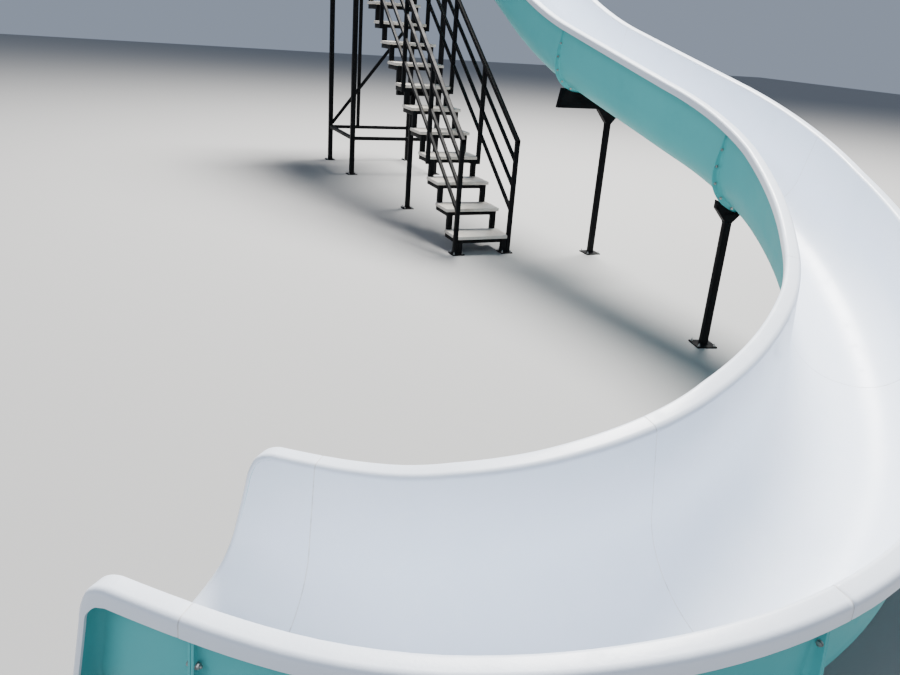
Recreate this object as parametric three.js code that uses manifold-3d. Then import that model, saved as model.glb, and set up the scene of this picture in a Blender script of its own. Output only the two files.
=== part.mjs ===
// Water slide tower: an open flume that runs down beside an open-riser steel stair and turns at its
// foot, on square steel posts. Millimetres, +Z up. The origin is on the ground under the stair's left
// foot, X points across the treads to the right, and Y points up the flight.
import * as THREE from 'three';
import { mergeVertices } from 'three/addons/utils/BufferGeometryUtils.js';
import Module from 'manifold-3d';

const wasm = await Module();
wasm.setup();

// Clearance left between two pieces that touch
const GAP = 0.3;

// Stair
const FIRST_RISE = 170;
const RISE = 200;
const GOING = 274;
const RISERS = 15;
const NOSE = 30;
const TREAD_LEFT = -25;
const TREAD_RIGHT = 523;
const TREAD_DEPTH = 294;
const TREAD_OVERHANG = 22.3;
const SLAB = 30;
const STRINGER_TUBE = 50;
const FOOT_X = [0, 498];
const FOOT_PLATE = 120;
const LEG_PLATE = 130;
const PLATE = 10;

// Deck and tower frame
const DECK_TOP = FIRST_RISE + (RISERS - 1) * RISE;
const DECK_FRONT = (RISERS - 1) * GOING - NOSE;
const DECK_LEFT = -90;
const DECK_RIGHT = 1510;
const DECK_DEPTH = 1470;
const DECK_BEAM = 80;
const LEG_TUBE = 60;
const LEG_X = [120, 1320];
const LEG_Y = [3970, 5120];
const MIDDLE_POST_X = 530;
const TIE_TOP = 500;
const TIE_TUBE = 45;
const BRACE_TUBE = 40;

// Railings
const RAIL_HEIGHT = 900;
const RAIL_TUBE = 40;
const BAR_TUBE = 30;
const BAR_DROPS = [215, 445, 670];
const RAIL_POST_TREADS = [1, 4, 7, 10, 13];
const GUARD_HEIGHT = 1000;
const GUARD_DROPS = [240, 480, 720];

// Flume section, heights measured down from the top of the rim
const FLUME_DEPTH = 552;
const INNER_HALF = 290;
const CREASE_HALF = 306;
const RIM_HALF = 376;
const CORNER_RADIUS = 272;
const CORNER_STEPS = 7;
const LIP_DROP = 50;
const EDGE_ROUND = 18;
const SHELL = 8;
const FLANGE = 40;
const FLANGE_THICK = 8;

// Flume path from the deck: run, plan radius (0 is straight), and the fall and the bank reached at the
// end of each stretch; the bank is the rise across the flume towards the inside of the bend
const FLUME_X = 1031;
const STRETCHES = [
  { run: 350, radius: 0, fall: 0, bank: 0 },
  { run: 1250, radius: 0, fall: 0.5, bank: 0 },
  { run: 1400, radius: 0, fall: 0.51, bank: 0 },
  { run: 1200, radius: 0, fall: 0.23, bank: 0 },
  { run: 1480, radius: 0, fall: 0.226, bank: 0 },
  { run: 1220, radius: 3600, fall: 0.29, bank: 0.136 },
  { run: 1100, radius: 3600, fall: 0.22, bank: 0.12 },
  { run: 900, radius: 3600, fall: 0.125, bank: 0.28 },
  { run: 890, radius: 3600, fall: 0.064, bank: 0.265 },
  { run: 870, radius: 1430, fall: 0.11, bank: 0.145 },
  { run: 340, radius: 1430, fall: 0.0964, bank: 0.1164 },
  { run: 250, radius: 1120, fall: 0.061, bank: 0.0796 },
  { run: 200, radius: 4500, fall: -0.0116, bank: 0.0415 },
  { run: 263, radius: 0, fall: -0.085, bank: -0.005 },
  { run: 330, radius: 0, fall: -0.085, bank: -0.005 },
];
const STEP_RUN = 300;
const STEP_TURN = 6;
const JOINTS = [0, 2050, 4100, 6475, 8270, 10190, 11500, 12000];
const FLUME_NAMES = ['flume_entry', 'flume_upper', 'flume_middle', 'flume_bend_upper',
  'flume_bend_lower', 'flume_end_bend', 'flume_exit'];

// End edge of the exit, a smooth line from the top of the rim down past the floor: distance past the
// end of the rim, and height over it. The edge is turned so that the outer side is the longer one, and
// a return flange as wide as the rim runs along it, with a lip turned back from the flange.
const EXIT_RIM = 11713;
const EXIT_EDGE = [[-52, 0], [0, -21], [24, -73], [33, -142], [46, -250], [60, -345], [77, -430],
  [125, -560], [205, -720]];
const EXIT_EDGE_STEPS = 24;
const EXIT_SKEW = 0.065;
const EXIT_RETURN = 85;
const EXIT_RETURN_THICK = 10;
const EXIT_LIP = 24;

// Slide posts
const POST_TUBE = 50;
const POST_PLATE = 150;
const HEAD_RISE = 36;
const SADDLE_LEFT = 226;
const SADDLE_RIGHT = 463;
const SADDLE_HEIGHT = 135;
const SADDLE_SLANT = 34;

const black = new THREE.MeshStandardMaterial({ color: 0x17181a, roughness: 0.45, metalness: 0.6 });
const marble = new THREE.MeshStandardMaterial({ color: 0xcfc8bc, roughness: 0.5, metalness: 0 });
const gelcoat = new THREE.MeshStandardMaterial({ color: 0xe9ecf0, roughness: 0.2, metalness: 0 });

const tower = new THREE.Group();

// Adds one named piece
function add(name, geometry, material) {
  const mesh = new THREE.Mesh(geometry, material.clone());
  mesh.name = name;
  tower.add(mesh);
}

// A box between two opposite corners
function block(low, high) {
  const geometry = new THREE.BoxGeometry(high[0] - low[0], high[1] - low[1], high[2] - low[2]);
  geometry.translate((low[0] + high[0]) / 2, (low[1] + high[1]) / 2, (low[2] + high[2]) / 2);
  return geometry;
}

// A square bar along a line, with two of its faces kept upright
function bar(from, to, width) {
  const start = new THREE.Vector3(...from);
  const end = new THREE.Vector3(...to);
  const along = end.clone().sub(start);
  const length = along.length();
  along.normalize();
  const up = Math.abs(along.z) > 0.999 ? new THREE.Vector3(0, 1, 0) : new THREE.Vector3(0, 0, 1);
  const side = new THREE.Vector3().crossVectors(up, along).normalize();
  const rise = new THREE.Vector3().crossVectors(along, side);
  const geometry = new THREE.BoxGeometry(width, width, length);
  geometry.applyMatrix4(new THREE.Matrix4().makeBasis(side, rise, along));
  const middle = start.add(end).multiplyScalar(0.5);
  geometry.translate(middle.x, middle.y, middle.z);
  return geometry;
}

// Solid work: a geometry as a solid, and a solid as a geometry
function solid(geometry) {
  const bare = geometry.clone();
  bare.deleteAttribute('normal');
  bare.deleteAttribute('uv');
  const merged = mergeVertices(bare, 1e-3);
  return new wasm.Manifold(new wasm.Mesh({
    numProp: 3,
    vertProperties: new Float32Array(merged.attributes.position.array),
    triVerts: new Uint32Array(merged.index.array),
  }));
}

function surface(body) {
  const { vertProperties, triVerts } = body.getMesh();
  const geometry = new THREE.BufferGeometry();
  geometry.setAttribute('position', new THREE.BufferAttribute(new Float32Array(vertProperties), 3));
  geometry.setIndex(new THREE.BufferAttribute(new Uint32Array(triVerts), 1));
  return geometry;
}

// Welds overlapping geometries into one body
function weld(geometries, cut = []) {
  let body = geometries.map(solid).reduce((sum, next) => sum.add(next));
  for (const cutter of cut) body = body.subtract(solid(cutter));
  return surface(body);
}

// Stair: height of a tread's top and Y of its front edge
const treadTop = (i) => FIRST_RISE + (i - 1) * RISE;
const treadFront = (i) => (i - 1) * GOING - NOSE;

// Treads, with their front corners cut back where a railing post passes
for (let i = 1; i < RISERS; i++) {
  const slab = block([TREAD_LEFT, treadFront(i), treadTop(i) - SLAB],
    [TREAD_RIGHT, treadFront(i) + TREAD_DEPTH, treadTop(i)]);
  const notch = (low, high) => block([low, treadFront(i) - 1, treadTop(i) - SLAB - 1],
    [high, treadFront(i) + RAIL_TUBE + GAP, treadTop(i) + 1]);
  const notches = [notch(TREAD_LEFT - 1, TREAD_LEFT + TREAD_OVERHANG),
    notch(TREAD_RIGHT - TREAD_OVERHANG, TREAD_RIGHT + 1)];
  const name = `stair_tread_${String(i).padStart(2, '0')}`;
  add(name, RAIL_POST_TREADS.includes(i) ? weld([slab], notches) : slab, marble);
}

// Saw-tooth stringers: a flat tube under each tread end and an upright one up to the next
const STRINGER_X = [TREAD_LEFT + TREAD_OVERHANG + STRINGER_TUBE / 2,
  TREAD_RIGHT - TREAD_OVERHANG - STRINGER_TUBE / 2];
['left', 'right'].forEach((side, k) => {
  const low = STRINGER_X[k] - STRINGER_TUBE / 2;
  const high = low + STRINGER_TUBE;
  const uprightY = (i) => treadFront(i) + NOSE - STRINGER_TUBE / 2;
  const tubes = [
    block([FOOT_X[k] - FOOT_PLATE / 2, -FOOT_PLATE / 2, 0],
      [FOOT_X[k] + FOOT_PLATE / 2, FOOT_PLATE / 2, PLATE]),
  ];
  for (let i = 1; i < RISERS; i++) {
    const top = treadTop(i) - SLAB - GAP;
    tubes.push(block([low, treadFront(i) + 5, top - STRINGER_TUBE],
      [high, uprightY(i + 1) + STRINGER_TUBE, top]));
    const below = i > 1 ? treadTop(i - 1) - SLAB - GAP - STRINGER_TUBE : 0;
    tubes.push(block([low, uprightY(i), below], [high, uprightY(i) + STRINGER_TUBE, top]));
  }
  const headLow = treadTop(RISERS - 1) - SLAB - GAP - STRINGER_TUBE;
  tubes.push(block([low, uprightY(RISERS), headLow],
    [high, uprightY(RISERS) + STRINGER_TUBE, DECK_TOP - SLAB - DECK_BEAM - 2 * GAP]));
  const slots = [];
  for (let i = 1; i < RISERS; i++) {
    slots.push(block([low - 1, treadFront(i), treadTop(i) - SLAB - GAP],
      [high + 1, treadFront(i) + TREAD_DEPTH + GAP, treadTop(i) + GAP]));
  }
  add(`stair_stringer_${side}`, weld(tubes, slots), black);
});

// Stair trestle under the eighth riser: a beam under both stringers on one leg
const TRESTLE_TREAD = 7;
const TRESTLE_LEG_X = 185;
const trestleY = TRESTLE_TREAD * GOING - STRINGER_TUBE / 2;
const trestleTop = treadTop(TRESTLE_TREAD) - SLAB - STRINGER_TUBE - 2 * GAP;
const tubeHalf = STRINGER_TUBE / 2;
const footHalf = FOOT_PLATE / 2;
add('stair_trestle', weld([
  block([STRINGER_X[0] - tubeHalf, trestleY - tubeHalf + 1, trestleTop - STRINGER_TUBE],
    [STRINGER_X[1] + tubeHalf + 1, trestleY + tubeHalf - 1, trestleTop]),
  block([TRESTLE_LEG_X - footHalf, trestleY - footHalf, 0],
    [TRESTLE_LEG_X + footHalf, trestleY + footHalf, PLATE]),
  block([TRESTLE_LEG_X - tubeHalf, trestleY - tubeHalf, 0],
    [TRESTLE_LEG_X + tubeHalf, trestleY + tubeHalf, trestleTop - 5]),
]), black);

// Stair railings: upright posts beside the treads, a top rail and three lower bars along the slope
const SLOPE = RISE / GOING;
const RAIL_X = [STRINGER_X[0] - (STRINGER_TUBE + RAIL_TUBE) / 2 - GAP,
  STRINGER_X[1] + (STRINGER_TUBE + RAIL_TUBE) / 2 + GAP];
['left', 'right'].forEach((side, k) => {
  const x = RAIL_X[k];
  const yStart = RAIL_TUBE / 2 - NOSE;
  const yEnd = DECK_FRONT - RAIL_TUBE / 2 - GAP;
  const railTop = (y) => FIRST_RISE + RAIL_HEIGHT + (y - yStart) * SLOPE;
  const pieces = [];
  for (const tread of RAIL_POST_TREADS) {
    const y = treadFront(tread) + RAIL_TUBE / 2;
    const foot = tread === 1 ? PLATE + GAP : treadTop(tread) - SLAB - STRINGER_TUBE + 4;
    pieces.push(block([x - RAIL_TUBE / 2, y - RAIL_TUBE / 2, foot],
      [x + RAIL_TUBE / 2, y + RAIL_TUBE / 2, railTop(y)]));
  }
  const topFoot = DECK_TOP - SLAB - DECK_BEAM + 4;
  pieces.push(block([x - RAIL_TUBE / 2, yEnd - RAIL_TUBE / 2, topFoot],
    [x + RAIL_TUBE / 2, yEnd + RAIL_TUBE / 2, railTop(yEnd)]));
  pieces.push(bar([x, yStart, railTop(yStart) - RAIL_TUBE / 2],
    [x, yEnd, railTop(yEnd) - RAIL_TUBE / 2], RAIL_TUBE - 2));
  for (const drop of BAR_DROPS) {
    pieces.push(bar([x, yStart, railTop(yStart) - drop], [x, yEnd, railTop(yEnd) - drop], BAR_TUBE));
  }
  add(`stair_railing_${side}`, weld(pieces), black);
});

// Tower legs, each on its base plate
const DECK_BACK = DECK_FRONT + DECK_DEPTH;
const FRAME_TOP = DECK_TOP - SLAB - GAP;
const FRAME_LOW = FRAME_TOP - DECK_BEAM;
const legEnds = [['front', 'back'], ['left', 'right']];
legEnds[0].forEach((depth, j) => legEnds[1].forEach((side, k) => {
  const [x, y] = [LEG_X[k], LEG_Y[j]];
  add(`tower_leg_${depth}_${side}`, weld([
    block([x - LEG_PLATE / 2, y - LEG_PLATE / 2, 0], [x + LEG_PLATE / 2, y + LEG_PLATE / 2, PLATE]),
    block([x - LEG_TUBE / 2, y - LEG_TUBE / 2, 0], [x + LEG_TUBE / 2, y + LEG_TUBE / 2, FRAME_LOW - GAP]),
  ]), black);
}));

// Low ties between the legs
const tieLow = TIE_TOP - TIE_TUBE;
const legHalf = LEG_TUBE / 2 + GAP;
['front', 'back'].forEach((depth, j) => {
  add(`tower_tie_${depth}`, block([LEG_X[0] + legHalf, LEG_Y[j] - TIE_TUBE / 2, tieLow],
    [LEG_X[1] - legHalf, LEG_Y[j] + TIE_TUBE / 2, TIE_TOP]), black);
});
['left', 'right'].forEach((side, k) => {
  add(`tower_tie_${side}`, block([LEG_X[k] - TIE_TUBE / 2, LEG_Y[0] + legHalf, tieLow],
    [LEG_X[k] + TIE_TUBE / 2, LEG_Y[1] - legHalf, TIE_TOP]), black);
});

// Back frame: a middle post on the low tie, and a brace on each side of it
const backY = LEG_Y[1];
add('tower_middle_post', block([MIDDLE_POST_X - TIE_TUBE / 2, backY - TIE_TUBE / 2, TIE_TOP + GAP],
  [MIDDLE_POST_X + TIE_TUBE / 2, backY + TIE_TUBE / 2, FRAME_LOW - GAP]), black);
const BRACE_REACH = 0.78;
const braceY = backY - TIE_TUBE / 2 - BRACE_TUBE / 2 - GAP;
const braceTop = TIE_TOP + (LEG_X[1] - LEG_X[0]) / BRACE_REACH;
add('tower_brace_back', weld([
  bar([LEG_X[0], braceY, TIE_TOP + 20], [LEG_X[1], braceY, braceTop], BRACE_TUBE),
], [
  block([LEG_X[0] - 200, braceY - 100, 0], [LEG_X[0] + legHalf, braceY + 100, DECK_TOP]),
  block([LEG_X[1] - legHalf, braceY - 100, 0], [LEG_X[1] + 200, braceY + 100, DECK_TOP]),
]), black);

// Deck frame and slab
add('deck_frame', weld([
  block([DECK_LEFT + 20, DECK_FRONT + 10, FRAME_LOW], [DECK_RIGHT - 20, DECK_BACK - 10, FRAME_TOP]),
], [
  block([DECK_LEFT + 70, DECK_FRONT + 60, FRAME_LOW - 1], [LEG_X[0] - 30, DECK_BACK - 60, FRAME_TOP + 1]),
  block([LEG_X[0] + 30, DECK_FRONT + 60, FRAME_LOW - 1], [690, LEG_Y[0] - 30, FRAME_TOP + 1]),
  block([750, DECK_FRONT + 60, FRAME_LOW - 1], [LEG_X[1] - 30, LEG_Y[0] - 30, FRAME_TOP + 1]),
  block([LEG_X[0] + 30, LEG_Y[0] + 30, FRAME_LOW - 1], [690, LEG_Y[1] - 30, FRAME_TOP + 1]),
  block([750, LEG_Y[0] + 30, FRAME_LOW - 1], [LEG_X[1] - 30, LEG_Y[1] - 30, FRAME_TOP + 1]),
  block([LEG_X[0] + 30, LEG_Y[1] + 30, FRAME_LOW - 1], [LEG_X[1] - 30, DECK_BACK - 60, FRAME_TOP + 1]),
  block([LEG_X[1] + 30, DECK_FRONT + 60, FRAME_LOW - 1], [DECK_RIGHT - 70, DECK_BACK - 60, FRAME_TOP + 1]),
]), black);
add('deck_slab', block([DECK_LEFT, DECK_FRONT, DECK_TOP - SLAB],
  [DECK_RIGHT, DECK_BACK, DECK_TOP]), marble);

// Deck guards: the same posts and bars on the three open sides and between stair and flume
function guard(name, from, to, posts) {
  const base = DECK_TOP + GAP;
  const top = base + GUARD_HEIGHT;
  const at = (t, z) => [from[0] + (to[0] - from[0]) * t, from[1] + (to[1] - from[1]) * t, z];
  const pieces = [];
  for (let i = 0; i < posts; i++) {
    const [x, y] = at(i / (posts - 1), 0);
    pieces.push(block([x - RAIL_TUBE / 2, y - RAIL_TUBE / 2, base],
      [x + RAIL_TUBE / 2, y + RAIL_TUBE / 2, top]));
  }
  pieces.push(bar(at(0, top - RAIL_TUBE / 2), at(1, top - RAIL_TUBE / 2), RAIL_TUBE - 2));
  for (const drop of GUARD_DROPS) pieces.push(bar(at(0, top - drop), at(1, top - drop), BAR_TUBE));
  add(name, weld(pieces), black);
}
const inset = RAIL_TUBE / 2 + 15;
const guardLeft = DECK_LEFT + inset;
const guardRight = DECK_RIGHT - inset;
const guardFront = DECK_FRONT + inset;
const guardBack = DECK_BACK - inset;
const guardEnd = guardBack - RAIL_TUBE - GAP;
guard('guard_left', [guardLeft, guardFront], [guardLeft, guardEnd], 3);
guard('guard_back', [guardLeft, guardBack], [guardRight, guardBack], 3);
guard('guard_right', [guardRight, guardFront], [guardRight, guardEnd], 3);

// Flume path: place, heading and bank at a run from the deck. A heading of 0 points down -Y and grows
// towards -X.
class FlumePath {
  at(run) {
    let [x, y, z, heading] = [FLUME_X, DECK_FRONT, DECK_TOP + FLUME_DEPTH, 0];
    let [fall, bank, left] = [0, 0, run];
    for (const { run: length, radius, fall: lastFall, bank: lastBank } of STRETCHES) {
      const step = Math.min(left, length);
      if (radius === 0) {
        x -= step * Math.sin(heading);
        y -= step * Math.cos(heading);
      } else {
        const turned = heading + step / radius;
        x -= radius * (Math.cos(heading) - Math.cos(turned));
        y -= radius * (Math.sin(turned) - Math.sin(heading));
        heading = turned;
      }
      const reached = fall + (lastFall - fall) * step / length;
      z -= step * (fall + reached) / 2;
      fall = reached;
      bank += (lastBank - bank) * step / length;
      left -= step;
      if (left <= 0) break;
    }
    return { x, y, z, heading, fall, bank };
  }

  // Square to the path: its middle, and the directions across, up and ahead
  frame(run) {
    const { x, y, z, heading, fall, bank } = this.at(run);
    const level = new THREE.Vector3(Math.cos(heading), -Math.sin(heading), 0);
    const ahead = new THREE.Vector3(-Math.sin(heading), -Math.cos(heading), -fall).normalize();
    const up = ahead.clone().cross(level);
    const side = level.clone().addScaledVector(up, -bank);
    return { middle: new THREE.Vector3(x, y, z), level, side, up, ahead };
  }
}
const path = new FlumePath();

// One length of the path as a curve whose cross sections stand square to it
class FlumeLength extends THREE.Curve {
  constructor(from, to) {
    super();
    this.from = from;
    this.to = to;
  }

  runAt(t) {
    return this.from + (this.to - this.from) * t;
  }

  getPoint(t) {
    return path.frame(this.runAt(t)).middle;
  }

  getSpacedPoints(steps) {
    return this.getPoints(steps);
  }

  computeFrenetFrames(steps) {
    const frames = { tangents: [], normals: [], binormals: [] };
    for (let i = 0; i <= steps; i++) {
      const { side, up, ahead } = path.frame(this.runAt(i / steps));
      frames.tangents.push(ahead);
      frames.normals.push(side);
      frames.binormals.push(up);
    }
    return frames;
  }
}

const sweep = (shape, from, to, steps) => new THREE.ExtrudeGeometry(shape, {
  steps, curveSegments: 1, extrudePath: new FlumeLength(from, to),
});

// Points of an arc about a centre
function arc(x, y, radius, from, to, count) {
  return Array.from({ length: count + 1 }, (_, i) => {
    const a = THREE.MathUtils.degToRad(from + (to - from) * i / count);
    return [x + radius * Math.cos(a), y + radius * Math.sin(a)];
  });
}

// Half of the section from the lip to the floor, moved outwards from the wetted face
function halfSection(offset) {
  const inside = EDGE_ROUND - offset;
  const cornerX = INNER_HALF - CORNER_RADIUS;
  const cornerY = -FLUME_DEPTH + CORNER_RADIUS;
  return [
    [RIM_HALF - offset, -LIP_DROP],
    ...arc(RIM_HALF - EDGE_ROUND, -EDGE_ROUND, inside, 0, 90, 2),
    ...arc(CREASE_HALF + EDGE_ROUND, -EDGE_ROUND, inside, 90, 180, 2),
    ...arc(cornerX, cornerY, CORNER_RADIUS + offset, 0, -90, CORNER_STEPS),
  ];
}
const mirrored = (points) => points.map(([x, y]) => [-x, y]);
const outline = (points) => new THREE.Shape(points.map(([x, y]) => new THREE.Vector2(x, y)));
const across = (points) => [...mirrored(points), ...points.slice().reverse()];
const trough = outline([...across(halfSection(0)), ...across(halfSection(SHELL)).reverse()]);

// Flange round the outside of the trough
function flangeHalf(offset) {
  return [
    [RIM_HALF - 14, -SHELL / 2],
    ...arc(INNER_HALF - CORNER_RADIUS, -FLUME_DEPTH + CORNER_RADIUS, CORNER_RADIUS + offset, 0, -90,
      CORNER_STEPS),
  ];
}
function collar(width) {
  const inner = [[CREASE_HALF + SHELL / 2 + 2, -SHELL / 2], ...halfSection(SHELL / 2).slice(6)];
  return outline([...across(flangeHalf(SHELL + width)), ...across(inner).reverse()]);
}

// Return flange at the exit's end, which closes the hollow of the rim too, and its lip
const cornerArc = (offset) => arc(INNER_HALF - CORNER_RADIUS, -FLUME_DEPTH + CORNER_RADIUS,
  CORNER_RADIUS + offset, 0, -90, CORNER_STEPS);
const returnWall = outline([
  ...across([[RIM_HALF - EDGE_ROUND, -SHELL / 2], [RIM_HALF - SHELL / 2, -EDGE_ROUND],
    [INNER_HALF + EXIT_RETURN, -LIP_DROP], ...cornerArc(EXIT_RETURN)]),
  ...across([[CREASE_HALF + EDGE_ROUND, -SHELL / 2], ...halfSection(SHELL / 2).slice(6)]).reverse(),
]);
const returnLip = outline([
  ...across([[INNER_HALF + EXIT_RETURN, 2 - LIP_DROP], ...cornerArc(EXIT_RETURN)]),
  ...across([[INNER_HALF + EXIT_RETURN - SHELL, 2 - LIP_DROP], ...cornerArc(EXIT_RETURN - SHELL)]).reverse(),
]);

// The exit's end: all that lies past its edge, moved back and down by an inset, and all before it
const edgeCurve = new THREE.SplineCurve(EXIT_EDGE.map(([past, over]) => new THREE.Vector2(past, over)));
const edgePoints = edgeCurve.getPoints(EXIT_EDGE_STEPS).map(({ x, y }) => [x, y]);
const exitEdge = (inset) => [[EXIT_EDGE[0][0], 40], ...edgePoints]
  .map(([past, over]) => [past - inset, over - inset]);
function exitPrism(points) {
  const { middle, level, up, ahead } = path.frame(EXIT_RIM);
  const skewed = ahead.clone().applyAxisAngle(up, -EXIT_SKEW);
  const prism = new THREE.ExtrudeGeometry(outline(points), { depth: 1200, bevelEnabled: false });
  prism.translate(0, 0, -600);
  prism.applyMatrix4(new THREE.Matrix4().makeBasis(
    skewed, up, level.clone().applyAxisAngle(up, -EXIT_SKEW).negate(),
  ));
  prism.translate(middle.x, middle.y, middle.z);
  return prism;
}
const pastEdge = () => exitPrism([...exitEdge(0), [900, -720], [900, 40]]);
const beforeEdge = (inset) => exitPrism([...exitEdge(inset), [-900, -720 - inset], [-900, 40 - inset]].reverse());

for (let i = 0; i < FLUME_NAMES.length; i++) {
  const from = JOINTS[i] + GAP / 2;
  const to = JOINTS[i + 1] - GAP / 2;
  const turn = Math.abs(path.at(to).heading - path.at(from).heading);
  const steps = Math.ceil(Math.max(turn / THREE.MathUtils.degToRad(STEP_TURN), (to - from) / STEP_RUN));
  const last = i === FLUME_NAMES.length - 1;
  const pieces = [sweep(trough, from, to, steps)];
  if (i > 0) pieces.push(sweep(collar(FLANGE), from, from + FLANGE_THICK, 1));
  if (!last) pieces.push(sweep(collar(FLANGE), to - FLANGE_THICK, to, 1));
  if (last) {
    const wall = sweep(returnWall, EXIT_RIM - 130, to - 2, 2);
    const lip = sweep(returnLip, EXIT_RIM - 130, to - 2, 2);
    pieces.push(weld([wall], [beforeEdge(EXIT_RETURN_THICK)]), weld([lip], [beforeEdge(EXIT_LIP)]));
  }
  add(FLUME_NAMES[i], weld(pieces, last ? [pastEdge()] : []), gelcoat);
}

// Slide posts under the flanged joints: base plate, square tube, flared head, and on the first one a
// saddle, all cut to the flange
const flangeSolid = outline([...mirrored(flangeHalf(SHELL + FLANGE + GAP)),
  ...flangeHalf(SHELL + FLANGE + GAP).reverse()]);
const SLIDE_POSTS = [
  { joint: 2, offset: 331, head: [264, 128], saddle: true },
  { joint: 3, offset: -118, head: [210, 92], saddle: false },
  { joint: 4, offset: -105, head: [210, 92], saddle: false },
  { joint: 5, offset: -105, head: [210, 92], saddle: false },
];
const upright = (points, depth) => {
  const slab = new THREE.ExtrudeGeometry(outline(points), { depth, bevelEnabled: false });
  slab.translate(0, 0, -depth / 2);
  slab.rotateX(Math.PI / 2);
  return slab;
};
SLIDE_POSTS.forEach(({ joint, offset, head: [headWidth, headHeight], saddle }, i) => {
  const run = JOINTS[joint];
  const { middle, up } = path.frame(run);
  const low = middle.addScaledVector(up, -(FLUME_DEPTH + SHELL + FLANGE));
  const half = POST_TUBE / 2;
  const plate = POST_PLATE / 2;
  const wide = headWidth / 2;
  const shoulder = low.z + (saddle ? -SADDLE_HEIGHT : HEAD_RISE);
  const headTop = shoulder + (saddle ? 10 : 80);
  const neck = shoulder - headHeight;
  const pieces = [
    upright([[offset - half, neck], [offset + half, neck], [offset + wide, shoulder],
      [offset + wide, headTop], [offset - wide, headTop], [offset - wide, shoulder]], POST_TUBE - 2),
    block([offset - half, -half, 0], [offset + half, half, neck + 5]),
    block([offset - plate, -plate, 0], [offset + plate, plate, PLATE]),
  ];
  if (saddle) {
    pieces.push(upright([[-SADDLE_LEFT, shoulder], [SADDLE_RIGHT + 32, shoulder], [SADDLE_RIGHT, low.z + 20],
      [SADDLE_SLANT - SADDLE_LEFT, low.z + 60]], POST_TUBE - 10));
  }
  for (const piece of pieces) {
    piece.rotateZ(-path.at(run).heading);
    piece.translate(low.x, low.y, 0);
  }
  const cutter = sweep(flangeSolid, run - 60, run + 60, 4);
  add(`slide_post_${i + 1}`, weld(pieces, [cutter]), black);
});

export default tower;
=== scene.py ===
# Water slide tower: a steel stair and deck on four legs, and an open moulded flume that runs down beside
# the stair and curls round at its foot. Metres, +Z up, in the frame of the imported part.
import math
import random

import bmesh
import bpy
from mathutils import Matrix, Vector


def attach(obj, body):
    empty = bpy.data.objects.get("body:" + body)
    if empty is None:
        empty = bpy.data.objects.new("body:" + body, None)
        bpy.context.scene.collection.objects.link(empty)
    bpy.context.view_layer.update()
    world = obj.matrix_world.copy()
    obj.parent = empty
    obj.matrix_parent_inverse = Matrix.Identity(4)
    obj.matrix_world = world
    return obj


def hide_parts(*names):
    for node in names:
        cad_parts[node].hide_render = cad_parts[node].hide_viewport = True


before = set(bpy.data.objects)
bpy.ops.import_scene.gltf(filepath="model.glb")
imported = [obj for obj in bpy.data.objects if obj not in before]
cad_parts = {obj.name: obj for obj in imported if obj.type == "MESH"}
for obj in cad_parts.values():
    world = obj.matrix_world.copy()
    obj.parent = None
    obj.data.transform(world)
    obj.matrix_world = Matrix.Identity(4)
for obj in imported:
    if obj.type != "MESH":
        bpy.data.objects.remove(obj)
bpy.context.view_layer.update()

random.seed(7)


# Stair stringers: two saw-tooth runs of 50 mm square tube, mitred and welded at every corner, each
# standing on a base plate with four anchors. Shop-painted satin black, the finish of all the steelwork.
FIRST_RISE = 0.170
RISE = 0.200
GOING = 0.274
RISERS = 15
NOSE = 0.030
SLAB = 0.030
TREAD_X = (-0.025, 0.523)
TREAD_OVERHANG = 0.0223
STRINGER_TUBE = 0.050
STRINGER_X = (TREAD_X[0] + TREAD_OVERHANG + STRINGER_TUBE / 2,
              TREAD_X[1] - TREAD_OVERHANG - STRINGER_TUBE / 2)
FOOT_X = (0.0, 0.498)
FOOT_PLATE = 0.120
PLATE = 0.010
TUBE_FOOT = 0.004
DECK_TOP = FIRST_RISE + (RISERS - 1) * RISE
DECK_BEAM = 0.080
GAP = 0.0003
ACROSS, BACK, UP = (Vector(way) for way in ((1, 0, 0), (0, 1, 0), (0, 0, 1)))


def tread_top(number):
    return FIRST_RISE + (number - 1) * RISE


def tread_front(number):
    return (number - 1) * GOING - NOSE


def add_node(tree, kind, inputs, output=0, **settings):
    """A shader node, with a value or another node's output for each input that is named. It gives back
    one of its own outputs."""
    node = tree.nodes.new("ShaderNode" + kind)
    for setting, value in settings.items():
        setattr(node, setting, value)
    for socket, value in inputs.items():
        if isinstance(value, bpy.types.NodeSocket):
            tree.links.new(value, node.inputs[socket])
        else:
            node.inputs[socket].default_value = value
    return node.outputs[output]


def new_group(name, result, *numbers):
    """A shader node group that takes a place and some numbers, with the sockets at its two ends."""
    tree = bpy.data.node_groups.new(name, "ShaderNodeTree")
    tree.interface.new_socket("Place", in_out="INPUT", socket_type="NodeSocketVector")
    for label in numbers:
        tree.interface.new_socket(label, in_out="INPUT", socket_type="NodeSocketFloat")
    tree.interface.new_socket(result, in_out="OUTPUT", socket_type="NodeSocketFloat")
    return tree, tree.nodes.new("NodeGroupInput").outputs, tree.nodes.new("NodeGroupOutput").inputs[0]


def patches_group():
    """Soft-edged patches: where paint has dulled, stone has darkened or gelcoat has chalked."""
    tree, given, result = new_group("weathered patches", "Mask", "Scale", "Start", "Full")
    clouds = add_node(tree, "TexNoise", {
        "Vector": given["Place"], "Scale": given["Scale"], "Detail": 6.0, "Roughness": 0.62})
    reach = add_node(tree, "MapRange", {
        "Value": clouds, "From Min": given["Start"], "From Max": given["Full"]},
        interpolation_type="SMOOTHSTEP")
    tree.links.new(reach, result)
    return tree


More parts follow.
